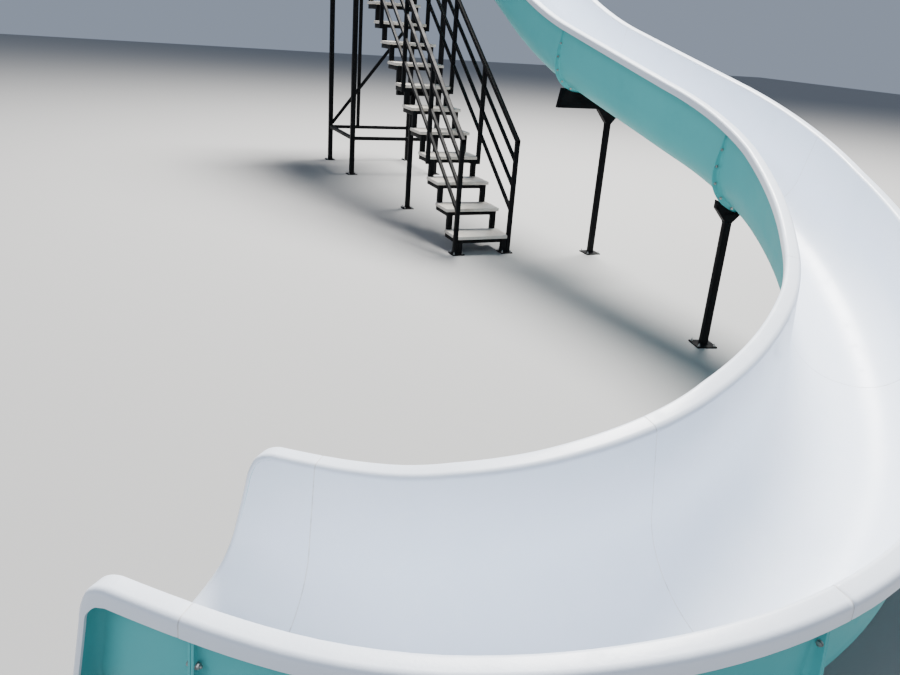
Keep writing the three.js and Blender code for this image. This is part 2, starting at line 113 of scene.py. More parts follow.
def dust_group():
    """Dust and splashed dirt: on faces that look up, and low down near the ground."""
    tree, given, result = new_group("settled dust", "Mask", "Reach")
    clouds = add_node(tree, "TexNoise", {"Vector": given["Place"], "Scale": 21.0, "Detail": 8.0})
    normal = add_node(tree, "NewGeometry", {}, "Normal")
    facing = add_node(tree, "SeparateXYZ", {"Vector": normal}, "Z")
    height = add_node(tree, "SeparateXYZ", {"Vector": given["Place"]}, "Z")
    low = add_node(tree, "MapRange", {
        "Value": height, "From Max": given["Reach"], "To Min": 1.0, "To Max": 0.0})
    up = add_node(tree, "MapRange", {"Value": facing, "From Min": 0.7, "To Max": 0.45})
    both = add_node(tree, "Math", {0: up, 1: low}, operation="MAXIMUM")
    broken = add_node(tree, "Math", {0: both, 1: clouds}, operation="MULTIPLY")
    tree.links.new(broken, result)
    return tree


def skin_group():
    """Height of a sprayed or moulded skin: fine orange peel over a long, shallow waviness."""
    tree, given, result = new_group("sprayed skin", "Height", "Peel", "Wave", "Wave share")
    peel, wave = (add_node(tree, "TexNoise", {
        "Vector": given["Place"], "Scale": given[size], "Detail": detail})
        for size, detail in (("Peel", 2.0), ("Wave", 1.0)))
    blend = add_node(tree, "Mix", {"Factor": given["Wave share"], "A": peel, "B": wave})
    tree.links.new(blend, result)
    return tree


PATCHES = patches_group()
DUST = dust_group()
SKIN = skin_group()


class Finish:
    """A material: one Principled shader, and the textures that vary its colour, gloss and relief."""

    def __init__(self, name, color, roughness, **constants):
        self.material = bpy.data.materials.new(name)
        self.material.use_nodes = True
        self.tree = self.material.node_tree
        self.shader = self.tree.nodes["Principled BSDF"]
        self.shader.inputs["Base Color"].default_value = (*color, 1.0)
        self.shader.inputs["Roughness"].default_value = roughness
        for socket, value in constants.items():
            self.shader.inputs[socket.replace("_", " ")].default_value = value
        self.place = add_node(self.tree, "TexCoord", {}, "Object")

    def noise(self, **values):
        return add_node(self.tree, "TexNoise", {"Vector": self.place, **values})

    def effect(self, group, **values):
        """What one of the groups above gives for these numbers."""
        values = {socket.replace("_", " "): value for socket, value in values.items()}
        return add_node(self.tree, "Group", {"Place": self.place, **values}, node_tree=group)

    def blend(self, mask, below, above):
        """Colour that goes from below to above where the mask is full."""
        below, above = ((*c, 1.0) if isinstance(c, tuple) else c for c in (below, above))
        return add_node(self.tree, "Mix", {"Factor": mask, 6: below, 7: above}, 2, data_type="RGBA")

    def between(self, mask, low, high, start=0.0, full=1.0):
        """A value that runs from low to high as the mask goes from start to full."""
        span = {"From Min": start, "From Max": full, "To Min": low, "To Max": high}
        return add_node(self.tree, "MapRange", {"Value": mask, **span})

    def feed(self, socket, output):
        self.tree.links.new(output, self.shader.inputs[socket])

    def relief(self, *layers):
        """Bumps laid over each other, each a height output and its depth in metres."""
        below = {}
        for height, depth in layers:
            bump = add_node(self.tree, "Bump", {"Distance": depth, "Height": height, **below})
            below = {"Normal": bump}
        self.feed("Normal", below["Normal"])


def black_paint():
    paint = Finish("black_paint", (0.006, 0.0063, 0.0073), 0.52, Specular_IOR_Level=0.06)
    dull = paint.effect(PATCHES, Scale=6.0, Start=0.42, Full=0.66)
    dust = paint.effect(DUST, Reach=0.22)
    faded = paint.blend(dull, (0.004, 0.0043, 0.0052), (0.0075, 0.0078, 0.0088))
    paint.feed("Base Color", paint.blend(dust, faded, (0.015, 0.0145, 0.014)))
    paint.feed("Roughness", paint.between(dull, 0.46, 0.62))
    paint.relief((paint.effect(SKIN, Peel=420.0, Wave=35.0, Wave_share=0.55), 0.0004))
    return paint.material


BLACK_PAINT = black_paint()


def galvanized():
    zinc = Finish("galvanized_fixings", (0.42, 0.42, 0.41), 0.4, Metallic=0.7)
    tarnish = zinc.effect(PATCHES, Scale=60.0, Start=0.4, Full=0.7)
    zinc.feed("Base Color", zinc.blend(tarnish, (0.47, 0.47, 0.46), (0.23, 0.225, 0.21)))
    zinc.feed("Roughness", zinc.between(tarnish, 0.3, 0.6))
    zinc.relief((zinc.noise(Scale=900.0), 0.0001))
    return zinc.material


FIXINGS = galvanized()


def linked(name, data):
    item = bpy.data.objects.new(name, data)
    bpy.context.scene.collection.objects.link(item)
    return item


class Work:
    """Metal, stone or moulded work collected into one mesh, with a material slot for each finish."""

    def __init__(self, name, *materials):
        self.name = name
        self.materials = materials
        self.mesh = bmesh.new()

    def rings(self, rings, caps=True, finish=0, join=False):
        """Skin over a row of closed rings of points; finish is a slot or a function of i and j."""
        slot = finish if callable(finish) else lambda i, j: finish
        rows = [[self.mesh.verts.new(p) for p in ring] for ring in rings]
        count = len(rows[0])
        spans = len(rows) if join else len(rows) - 1
        for i in range(spans):
            near, far = rows[i], rows[(i + 1) % len(rows)]
            for j in range(count):
                k = (j + 1) % count
                face = self.mesh.faces.new((near[j], near[k], far[k], far[j]))
                face.material_index = slot(i, j)
        if caps and not join:
            self.mesh.faces.new(rows[0][::-1]).material_index = slot(0, 0)
            self.mesh.faces.new(rows[-1]).material_index = slot(spans - 1, 0)

    def tube(self, points, width, depth=None, side=None, ends=None):
        """Square tube along a line of points, mitred where it turns; ends are the ways its cuts face."""
        points = [Vector(p) for p in points]
        heading = [(b - a).normalized() for a, b in zip(points, points[1:])]
        side = side or heading[0].cross(UP).normalized()
        first, last = ends or (heading[0], heading[-1])
        mitres = [(a + b).normalized() for a, b in zip(heading, heading[1:])]
        rings = []
        for i, cut in enumerate([first, *mitres, last]):
            along = heading[max(i - 1, 0)]
            upward = side.cross(along)
            ring = [side * a + upward * b for a, b in rolled_square(width, depth or width)]
            rings.append([points[i] + spot - along * (spot.dot(cut) / along.dot(cut)) for spot in ring])
        self.rings(rings)

    def plate(self, low, high, edge, matrix=None):
        """Flat bar or plate between two corners, with eased edges."""
        (left, front, bottom), (right, back, top) = low, high
        outline = [(left, front), (right, front), (right, back), (left, back)]
        self.solid_outline(outline, bottom, top, edge, matrix)

    def solid_outline(self, outline, low, high, edge, matrix=None, segments=2):
        """Plate or slab cut to an outline of x, y points, between two heights, with eased edges."""
        piece = bmesh.new()
        bottom = [piece.verts.new((x, y, low)) for x, y in outline]
        top = [piece.verts.new((x, y, high)) for x, y in outline]
        piece.faces.new(bottom[::-1])
        piece.faces.new(top)
        for i in range(len(outline)):
            k = (i + 1) % len(outline)
            piece.faces.new((bottom[i], bottom[k], top[k], top[i]))
        bmesh.ops.bevel(piece, geom=piece.edges[:], offset=edge, segments=segments, profile=0.5,
                        affect="EDGES", clamp_overlap=True)
        if matrix:
            piece.transform(matrix)
        copy = bpy.data.meshes.new("part")
        piece.to_mesh(copy)
        piece.free()
        self.mesh.from_mesh(copy)
        bpy.data.meshes.remove(copy)

    def weld(self, middle, across, up, width, thickness, depth=None):
        """Weld bead round a tube where it meets a face: a rippled cord of metal, painted over."""
        middle = Vector(middle)
        loop = resampled([middle + across * a + up * b for a, b in rolled_square(width, depth or width)])
        middle = sum(loop, Vector()) / len(loop)
        rings = []
        for i, point in enumerate(loop):
            along = (loop[(i + 1) % len(loop)] - loop[i - 1]).normalized()
            out = point - middle
            out = (out - along * out.dot(along)).normalized()
            over = along.cross(out)
            size = thickness * random.uniform(0.85, 1.15)
            rings.append([point + (out * x + over * y) * size for x, y in polygon(6)])
        self.rings(rings, join=True)

    def lathe(self, matrix, profile, sides, finish):
        """Turned piece about its own Z: radius and height pairs from the axis round to the axis."""
        self.rings([[matrix @ Vector((r * x, r * y, h)) for x, y in polygon(sides)] for r, h in profile],
                   finish=finish)

    def bolt(self, place, axis, size, finish=0, stud=0.0):
        """Hexagon head or nut on a washer, in shares of its size, with a stud when a length is given."""
        matrix = Matrix.Translation(place) @ axis.to_track_quat("Z", "Y").to_matrix().to_4x4()
        matrix = matrix @ Matrix.Rotation(random.uniform(0, math.pi), 4, "Z") @ Matrix.Scale(size, 4)
        washer = ((0.3, 0.0), (1.08, 0.0), (1.08, 0.16), (1.02, 0.22), (0.3, 0.22))
        head = ((0.828, 0.22), (0.92, 0.27), (0.92, 0.78), (0.8556, 0.88), (0.736, 0.92))
        self.lathe(matrix, washer, 16, finish)
        self.lathe(matrix, head, 6, finish)
        if stud:
            threads = [(0.48 if k % 2 else 0.43, 0.9 + stud / size * k / 9) for k in range(9)]
            self.lathe(matrix, threads + [(0.3, 0.9 + stud / size)], 12, finish)

    def place(self, *nodes, slot=None, sharp=34.0):
        """Turns the work into a piece that rides on the part and stands for the nodes it replaces."""
        bmesh.ops.recalc_face_normals(self.mesh, faces=self.mesh.faces[:])
        data = bpy.data.meshes.new(self.name)
        self.mesh.to_mesh(data)
        self.mesh.free()
        for material in self.materials:
            data.materials.append(material)
        data.polygons.foreach_set("use_smooth", [True] * len(data.polygons))
        data.set_sharp_from_angle(angle=math.radians(sharp))
        piece = linked(self.name, data)
        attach(piece, "root")
        if nodes:
            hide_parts(*nodes)


def polygon(sides):
    """Corners of a regular polygon on a circle of radius 1."""
    return [(math.cos(a), math.sin(a)) for a in (2 * math.pi * k / sides for k in range(sides))]


def rolled_square(width, depth):
    """Outline of a square tube as across and up pairs; its corners are rolled to an eighth of its width
    in whole millimetres, and to 6 mm at most."""
    radius = min(6, round(width * 1000 / 8)) / 1000
    points = []
    for across, up, start in ((1, 1, 0), (-1, 1, 90), (-1, -1, 180), (1, -1, 270)):
        for a in (math.radians(start + step) for step in (0, 30, 60, 90)):
            points.append((across * (width / 2 - radius) + radius * math.cos(a),
                           up * (depth / 2 - radius) + radius * math.sin(a)))
    return points


RIPPLE = 0.006


def resampled(loop):
    """The same closed loop with points as far apart as the ripples of a weld."""
    length = sum((b - a).length for a, b in zip(loop, loop[1:] + loop[:1]))
    count = max(8, round(length / RIPPLE))
    points, walked, target = [], 0.0, 0.0
    for a, b in zip(loop, loop[1:] + loop[:1]):
        span = (b - a).length
        while span and target < walked + span and len(points) < count:
            points.append(a.lerp(b, (target - walked) / span))
            target += length / count
        walked += span
    return points


ANCHOR_INSET = 0.017
ANCHOR_SIZE = 0.0085
ANCHOR_STUD = 0.012
FOOT_WELD = 0.004


def foot_plate(work, x, y, size, tube, angle=0.0):
    """Base plate with a weld round the tube and an anchor bolt in each corner."""
    turn = Matrix.Translation((x, y, 0)) @ Matrix.Rotation(angle, 4, "Z")
    half = size / 2
    work.plate((-half, -half, 0.0), (half, half, PLATE), edge=0.0015, matrix=turn)
    work.weld((x, y, PLATE), turn.col[0].xyz, turn.col[1].xyz, tube, FOOT_WELD)
    reach = half - ANCHOR_INSET
    for across, along in ((reach, reach), (-reach, reach), (-reach, -reach), (reach, -reach)):
        work.bolt(turn @ Vector((across, along, PLATE)), UP, ANCHOR_SIZE, finish=1, stud=ANCHOR_STUD)


for side, x, foot in zip(("left", "right"), STRINGER_X, FOOT_X):
    work = Work(f"stringer_{side}", BLACK_PAINT, FIXINGS)
    line = [(x, tread_front(1) + NOSE, TUBE_FOOT)]
    for number in range(1, RISERS):
        level = tread_top(number) - SLAB - GAP - STRINGER_TUBE / 2
        line += [(x, tread_front(number) + NOSE, level), (x, tread_front(number + 1) + NOSE, level)]
    line.append((x, tread_front(RISERS) + NOSE, DECK_TOP - SLAB - DECK_BEAM - 2 * GAP))
    work.tube(line, STRINGER_TUBE, side=ACROSS)
    foot_plate(work, foot, 0.0, FOOT_PLATE, STRINGER_TUBE)
    work.place(f"stair_stringer_{side}", slot="steel")


# Tread bearers: a small tube under the front of each tread, welded between the two stringers, and a
# second one under its back edge. They carry the middle of the stone.
BEARER_WIDTH = 0.026
BEARER_DEPTH = 0.036
BEARERS_BACK = (0.025, 0.248)
BEARER_WELD = 0.002
work = Work("tread_bearers", BLACK_PAINT)
for number in range(1, RISERS):
    level = tread_top(number) - SLAB - GAP - BEARER_DEPTH / 2
    for y in (tread_front(number) + back for back in BEARERS_BACK):
        work.tube([(x, y, level) for x in STRINGER_X], BEARER_WIDTH, BEARER_DEPTH, side=BACK)
        for x in (STRINGER_X[0] + STRINGER_TUBE / 2, STRINGER_X[1] - STRINGER_TUBE / 2):
            work.weld((x, y, level), BACK, UP, BEARER_WIDTH, BEARER_WELD, BEARER_DEPTH)
work.place(slot="steel")


# Treads: 30 mm slabs of honed pale stone laid on the stringers, with eased edges. The front corners of
# the slabs beside a railing post are notched round it.
TREAD_DEPTH = 0.294
RAIL_POST_TREADS = (1, 4, 7, 10, 13)
RAIL_TUBE = 0.040


def honed_stone():
    stone = Finish("honed_stone", (0.60, 0.56, 0.50), 0.45, Specular_IOR_Level=0.4)
    cloud = stone.effect(PATCHES, Scale=5.0, Start=0.36, Full=0.68)
    grain = stone.noise(Scale=140.0, Detail=6.0, Roughness=0.7)
    vein = stone.noise(Scale=7.0, Detail=9.0, Distortion=1.4)
    body = stone.blend(cloud, (0.66, 0.625, 0.57), (0.53, 0.485, 0.425))
    speckled = stone.blend(stone.between(grain, 0.0, 0.35, 0.45, 0.75), body, (0.42, 0.38, 0.33))
    band = add_node(stone.tree, "Math", {0: vein, 1: 0.5}, operation="PINGPONG")
    stone.feed("Base Color", stone.blend(stone.between(band, 0.0, 0.45, 0.44, 0.5), speckled,
                                         (0.72, 0.69, 0.64)))
    stone.feed("Roughness", stone.between(cloud, 0.36, 0.55))
    stone.relief((grain, 0.0003), (vein, 0.0006))
    return stone.material


STONE = honed_stone()

for number in range(1, RISERS):
    left, right = TREAD_X
    front, back = tread_front(number), tread_front(number) + TREAD_DEPTH
    if number in RAIL_POST_TREADS:
        inner, notch = TREAD_OVERHANG, front + RAIL_TUBE + GAP
        outline = [(left + inner, front), (right - inner, front), (right - inner, notch), (right, notch),
                   (right, back), (left, back), (left, notch), (left + inner, notch)]
    else:
        outline = [(left, front), (right, front), (right, back), (left, back)]
    work = Work(f"tread_{number:02d}", STONE)
    work.solid_outline(outline, tread_top(number) - SLAB, tread_top(number), edge=0.0025, segments=3)
    work.place(f"stair_tread_{number:02d}", slot="stone")


# Stair trestle: a cross beam of the same tube under both stringers, welded on one leg with a base plate,
# half way up the flight.
HAIR = 0.001
TRESTLE_TREAD = 7
TRESTLE_LEG_X = 0.185
TRESTLE_WELD = 0.0028
trestle_y = TRESTLE_TREAD * GOING - STRINGER_TUBE / 2
beam_top = tread_top(TRESTLE_TREAD) - SLAB - STRINGER_TUBE - 2 * GAP
beam = beam_top - STRINGER_TUBE / 2
leg_top = beam_top - STRINGER_TUBE
work = Work("trestle", BLACK_PAINT, FIXINGS)
work.tube([(STRINGER_X[0] - STRINGER_TUBE / 2, trestle_y, beam),
           (STRINGER_X[1] + STRINGER_TUBE / 2, trestle_y, beam)], STRINGER_TUBE, side=BACK)
work.tube([(TRESTLE_LEG_X, trestle_y, TUBE_FOOT), (TRESTLE_LEG_X, trestle_y, leg_top)],
          STRINGER_TUBE - HAIR, side=ACROSS)
work.weld((TRESTLE_LEG_X, trestle_y, leg_top), ACROSS, BACK, STRINGER_TUBE, TRESTLE_WELD)
foot_plate(work, TRESTLE_LEG_X, trestle_y, FOOT_PLATE, STRINGER_TUBE)
work.place("stair_trestle", slot="steel")


# Stair railings: 40 mm square posts welded to the outer faces of the stringers, a top rail laid over
# them along the slope, and three lower bars of 30 mm tube welded between the posts.
RAIL_HEIGHT = 0.900
BAR_TUBE = 0.030
RAIL_WELD = 0.0024
BAR_WELD = 0.0022
BAR_DROPS = (0.215, 0.445, 0.670)
POST_SHORT = 0.004
DECK_FRONT = (RISERS - 1) * GOING - NOSE
SLOPE = RISE / GOING
SLANT = math.sqrt(1 + SLOPE ** 2)
rail_out = (STRINGER_TUBE + RAIL_TUBE) / 2 + GAP
rail_start = RAIL_TUBE / 2 - NOSE
rail_end = DECK_FRONT - RAIL_TUBE / 2 - GAP


def rail_top(y):
    return FIRST_RISE + RAIL_HEIGHT + (y - rail_start) * SLOPE


for side, x in (("left", STRINGER_X[0] - rail_out), ("right", STRINGER_X[1] + rail_out)):
    work = Work(f"stair_rail_{side}", BLACK_PAINT)
    posts = [(tread_front(n) + RAIL_TUBE / 2,
              PLATE + GAP if n == 1 else tread_top(n) - SLAB - STRINGER_TUBE + POST_SHORT)
             for n in RAIL_POST_TREADS]
    posts.append((rail_end, DECK_TOP - SLAB - DECK_BEAM + POST_SHORT))
    for y, foot in posts:
        work.tube([(x, y, foot), (x, y, rail_top(y) - RAIL_TUBE / 2)], RAIL_TUBE, side=ACROSS)
    work.tube([(x, y, rail_top(y) - RAIL_TUBE / 2 * SLANT)
               for y in (rail_start - RAIL_TUBE / 2, rail_end + RAIL_TUBE / 2)],
              RAIL_TUBE - HAIR, side=ACROSS, ends=(BACK, BACK))
    for y, foot in posts:
        work.weld((x, y, rail_top(y) - RAIL_TUBE * SLANT), ACROSS, BACK + UP * SLOPE, RAIL_TUBE,
                  RAIL_WELD)
    for drop in BAR_DROPS:
        work.tube([(x, y, rail_top(y) - drop) for y in (rail_start, rail_end)], BAR_TUBE,
                  side=ACROSS, ends=(BACK, BACK))
        for i, (y, foot) in enumerate(posts):
            for face in ([1] if i == 0 else [-1] if i == len(posts) - 1 else [-1, 1]):
                spot = y + face * RAIL_TUBE / 2
                work.weld((x, spot, rail_top(spot) - drop), ACROSS, UP * SLANT, BAR_TUBE, BAR_WELD)
    work.place(f"stair_railing_{side}", slot="steel")


# Tower legs: four 60 mm square tubes from base plates up to the deck frame, each with a welded foot and
# two small gussets under the frame.
LEG_TUBE = 0.060
LEG_PLATE = 0.130
LEG_WELD = 0.0035
LEG_X = (0.120, 1.320)
LEG_Y = (3.970, 5.120)
FRAME_TOP = DECK_TOP - SLAB - GAP
FRAME_LOW = FRAME_TOP - DECK_BEAM
GUSSET_REACH = 0.085
GUSSET_NOSE = 0.012
GUSSET_THICK = 0.006


def standing(spot, *ways):
    """Matrix that sets a shape at a spot, with its x, y and z turned to three ways."""
    return Matrix.Translation(spot) @ Matrix(ways).transposed().to_4x4()


def gusset(work, x, y, top, way):
    """Triangular plate in the corner between an upright and what it carries."""
    outline = [(0, 0), (GUSSET_REACH, 0), (GUSSET_REACH, -GUSSET_NOSE), (GUSSET_NOSE, -GUSSET_REACH),
               (0, -GUSSET_REACH)]
    work.solid_outline(outline, -GUSSET_THICK / 2, GUSSET_THICK / 2, edge=0.0008,
                       matrix=standing((x, y, top), way, UP, way.cross(UP)))


for j, depth in enumerate(("front", "back")):
    for k, side in enumerate(("left", "right")):
        work = Work(f"leg_{depth}_{side}", BLACK_PAINT, FIXINGS)
        x, y, top = LEG_X[k], LEG_Y[j], FRAME_LOW - GAP
        work.tube([(x, y, TUBE_FOOT), (x, y, top)], LEG_TUBE, side=ACROSS)
        work.weld((x, y, top - HAIR), ACROSS, BACK, LEG_TUBE, LEG_WELD)
        for way in (ACROSS * (1 - 2 * k), BACK * (1 - 2 * j)):
            gusset(work, x + way.x * LEG_TUBE / 2, y + way.y * LEG_TUBE / 2, top, way)
        foot_plate(work, x, y, LEG_PLATE, LEG_TUBE)
        work.place(f"tower_leg_{depth}_{side}", slot="steel")


# Low ties: 45 mm square tubes at knee height, all round the tower. Each is cut square and welded to the
# legs' faces.
TIE_TOP = 0.500
TIE_TUBE = 0.045
TIE_WELD = 0.003
tie_middle = TIE_TOP - TIE_TUBE / 2
leg_face = LEG_TUBE / 2


def tie(side, start, end, across):
    """A tie between two legs' faces, with the weld round each of its ends."""
    work = Work(f"tie_{side}", BLACK_PAINT)
    work.tube([start, end], TIE_TUBE, side=across)
    for spot in (start, end):
        work.weld(spot, across, UP, TIE_TUBE, TIE_WELD)
    work.place(f"tower_tie_{side}", slot="steel")


for y, depth in zip(LEG_Y, ("front", "back")):
    tie(depth, (LEG_X[0] + leg_face, y, tie_middle), (LEG_X[1] - leg_face, y, tie_middle), BACK)
for x, side in zip(LEG_X, ("left", "right")):
    tie(side, (x, LEG_Y[0] + leg_face, tie_middle), (x, LEG_Y[1] - leg_face, tie_middle), ACROSS)


# Back frame of the tower: a middle post that stands on the back tie, and one long brace across the
# bay, cut upright against the legs' faces and welded there.
MIDDLE_POST_X = 0.530
BRACE_TUBE = 0.040
BRACE_REACH = 0.78
BRACE_FOOT = 0.020
work = Work("middle_post", BLACK_PAINT)
x, y = MIDDLE_POST_X, LEG_Y[1]
work.tube([(x, y, TIE_TOP + GAP), (x, y, FRAME_LOW - GAP)], TIE_TUBE, side=ACROSS)
for z in (TIE_TOP + HAIR, FRAME_LOW - HAIR):
    work.weld((x, y, z), ACROSS, BACK, TIE_TUBE, TIE_WELD)
work.place("tower_middle_post", slot="steel")

work = Work("back_brace", BLACK_PAINT)
bay = LEG_X[1] - LEG_X[0]
brace_y = LEG_Y[1] - TIE_TUBE / 2 - BRACE_TUBE / 2 - GAP
brace_slope = (bay / BRACE_REACH - BRACE_FOOT) / bay
ends = [(x, brace_y, TIE_TOP + BRACE_FOOT + (x - LEG_X[0]) * brace_slope)
        for x in (LEG_X[0] + leg_face, LEG_X[1] - leg_face)]
work.tube(ends, BRACE_TUBE, side=BACK, ends=(ACROSS, ACROSS))
for end in ends:
    work.weld(end, BACK, UP * math.sqrt(1 + brace_slope ** 2), BRACE_TUBE, TIE_WELD)
work.place("tower_brace_back", slot="steel")


# Deck frame: an 80 mm deep rim of rectangular tube, mitred at its corners, with joists over the leg
# lines and one between them.
DECK_X = (-0.090, 1.510)
DECK_BACK = DECK_FRONT + 1.470
FRAME_TUBE = 0.050
FRAME_INSET = (0.020, 0.010)
MIDDLE_JOIST_X = 0.720
frame_x = (DECK_X[0] + FRAME_INSET[0], DECK_X[1] - FRAME_INSET[0])
frame_y = (DECK_FRONT + FRAME_INSET[1], DECK_BACK - FRAME_INSET[1])
level = FRAME_TOP - DECK_BEAM / 2
inset = FRAME_TUBE / 2
work = Work("deck_frame_tubes", BLACK_PAINT)
corners = [Vector((frame_x[i] + inset * (1 - 2 * i), frame_y[j] + inset * (1 - 2 * j), level))
           for i, j in ((0, 0), (1, 0), (1, 1), (0, 1))]
ways = [(b - a).normalized() for a, b in zip(corners, corners[1:] + corners[:1])]
for i, way in enumerate(ways):
    mitres = (way + ways[i - 1]).normalized(), (way + ways[(i + 1) % 4]).normalized()
    work.tube([corners[i], corners[(i + 1) % 4]], FRAME_TUBE, DECK_BEAM, ends=mitres)
for x in (*LEG_X, MIDDLE_JOIST_X):
    work.tube([(x, y, level) for y in (frame_y[0] + FRAME_TUBE, frame_y[1] - FRAME_TUBE)],
              LEG_TUBE, DECK_BEAM - 2 * HAIR)
for y in LEG_Y:
    work.tube([(x, y, level) for x in (frame_x[0] + FRAME_TUBE, frame_x[1] - FRAME_TUBE)],
              LEG_TUBE, DECK_BEAM - HAIR)
work.place("deck_frame", slot="steel")


# Deck: the same pale stone as the treads, in 30 mm slabs with eased edges. Four each way lie on the
# frame, with narrow open joints between them.
DECK_SLABS = 4
DECK_JOINT = 0.0025
work = Work("deck_slabs", STONE)
step_x = (DECK_X[1] - DECK_X[0] + DECK_JOINT) / DECK_SLABS
step_y = (DECK_BACK - DECK_FRONT + DECK_JOINT) / DECK_SLABS
for i in range(DECK_SLABS):
    for j in range(DECK_SLABS):
        x, y = DECK_X[0] + i * step_x, DECK_FRONT + j * step_y
        work.plate((x, y, DECK_TOP - SLAB), (x + step_x - DECK_JOINT, y + step_y - DECK_JOINT, DECK_TOP),
                   edge=0.0018)
work.place("deck_slab", slot="stone")


# Deck guards: the railing's posts and bars again, 1 m high, on the left, back and right sides. Each
# post stands on a slab, with a painted bead round its foot.
GUARD_HEIGHT = 1.000
GUARD_DROPS = (0.240, 0.480, 0.720)
GUARD_INSET = 0.035
guard_x = (DECK_X[0] + GUARD_INSET, DECK_X[1] - GUARD_INSET)
guard_y = (DECK_FRONT + GUARD_INSET, DECK_BACK - GUARD_INSET)


def guard(side, start, end):
    """Three posts, a top rail and three lower bars between two plan points."""
    work = Work(f"deck_guard_{side}", BLACK_PAINT)
    base = DECK_TOP + GAP
    start, end = Vector((*start, 0)), Vector((*end, 0))
    along = (end - start).normalized()
    across = Vector((along.y, -along.x, 0))
    for share, faces in ((0.0, (1,)), (0.5, (-1, 1)), (1.0, (-1,))):
        spot = start.lerp(end, share)
        work.tube([spot + UP * base, spot + UP * (base + GUARD_HEIGHT - RAIL_TUBE / 2)], RAIL_TUBE,
                  side=across)
        work.weld(spot + UP * (base + 2 * HAIR), across, along, RAIL_TUBE, TIE_WELD)
        for face in faces:
            for drop in GUARD_DROPS:
                work.weld(spot + along * face * RAIL_TUBE / 2 + UP * (base + GUARD_HEIGHT - drop),
                          across, UP, BAR_TUBE, BAR_WELD)
    top = UP * (base + GUARD_HEIGHT - RAIL_TUBE / 2)
    reach = along * RAIL_TUBE / 2
    work.tube([start - reach + top, end + reach + top], RAIL_TUBE - HAIR, side=across)
    for drop in GUARD_DROPS:
        line = UP * (base + GUARD_HEIGHT - drop)
        work.tube([start + line, end + line], BAR_TUBE, side=across)
    work.place(f"guard_{side}", slot="steel")


guard_end = guard_y[1] - RAIL_TUBE - GAP
guard("left", (guard_x[0], guard_y[0]), (guard_x[0], guard_end))
guard("back", (guard_x[0], guard_y[1]), (guard_x[1], guard_y[1]))
guard("right", (guard_x[1], guard_y[0]), (guard_x[1], guard_end))


# Flume lengths: hand-laid glass fibre with gelcoat on both faces, white inside and over the rolled rim
# and teal outside. Seven lengths, one after another along the path, each leaning with the bank.
FLUME_START = Vector((1.031, DECK_FRONT, DECK_TOP + 0.552))
STRETCHES = (
    # run, plan radius, then the fall and the bank reached at its end
    (0.350, 0.0, 0.0, 0.0),
    (1.250, 0.0, 0.500, 0.0),
    (1.400, 0.0, 0.510, 0.0),
    (1.200, 0.0, 0.230, 0.0),
    (1.480, 0.0, 0.226, 0.0),
    (1.220, 3.600, 0.290, 0.136),
    (1.100, 3.600, 0.220, 0.120),
    (0.900, 3.600, 0.125, 0.280),
    (0.890, 3.600, 0.064, 0.265),
    (0.870, 1.430, 0.110, 0.145),
    (0.340, 1.430, 0.0964, 0.1164),
    (0.250, 1.120, 0.061, 0.0796),
    (0.200, 4.500, -0.0116, 0.0415),
    (0.263, 0.0, -0.085, -0.005),
    (0.330, 0.0, -0.085, -0.005),
)
JOINTS = (0.0, 2.050, 4.100, 6.475, 8.270, 10.190, 11.500)
LENGTHS = ("entry", "upper", "middle", "bend_upper", "bend_lower", "end_bend")
DEPTH = 0.552
INNER_HALF = 0.290
CREASE_HALF = 0.306
RIM_HALF = 0.376
CORNER_RADIUS = 0.272
LIP_DROP = 0.050
EDGE_ROUND = 0.018
SHELL = 0.008
FLOOR_POINTS, CORNER_POINTS, WALL_POINTS = 4, 19, 11
WALL_CROWDING = 1.8
ROUND_STEPS = 6
TURN_X, TURN_Z = INNER_HALF - CORNER_RADIUS, CORNER_RADIUS - DEPTH


class Station:
    """One cross section, square to the path: its middle at rim height, and its ways along and across."""

    def __init__(self, run):
        x, y, z = FLUME_START
        heading = fall = bank = 0.0
        left = run
        for length, radius, last_fall, last_bank in STRETCHES:
            step = min(left, length)
            if radius:
                turned = heading + step / radius
                x -= radius * (math.cos(heading) - math.cos(turned))
                y -= radius * (math.sin(turned) - math.sin(heading))
                heading = turned
            else:
                x -= step * math.sin(heading)
                y -= step * math.cos(heading)
            reached = fall + (last_fall - fall) * step / length
            z -= step * (fall + reached) / 2
            fall = reached
            bank += (last_bank - bank) * step / length
            left -= step
            if left <= 0:
                break
        self.heading = heading
        self.middle = Vector((x, y, z))
        self.level = Vector((math.cos(heading), -math.sin(heading), 0))
        self.along = Vector((-math.sin(heading), -math.cos(heading), -fall)).normalized()
        self.up = self.along.cross(self.level)
        self.across = self.level - self.up * bank

    def point(self, across, up, ahead=0.0):
        return self.middle + self.across * across + self.up * up + self.along * ahead


def arc(x, z, radius, start, end, steps):
    """Points of an arc in the section, from one angle to another in degrees."""
    turns = [math.radians(start + (end - start) * k / steps) for k in range(steps + 1)]
    return [(x + radius * math.cos(a), z + radius * math.sin(a)) for a in turns]


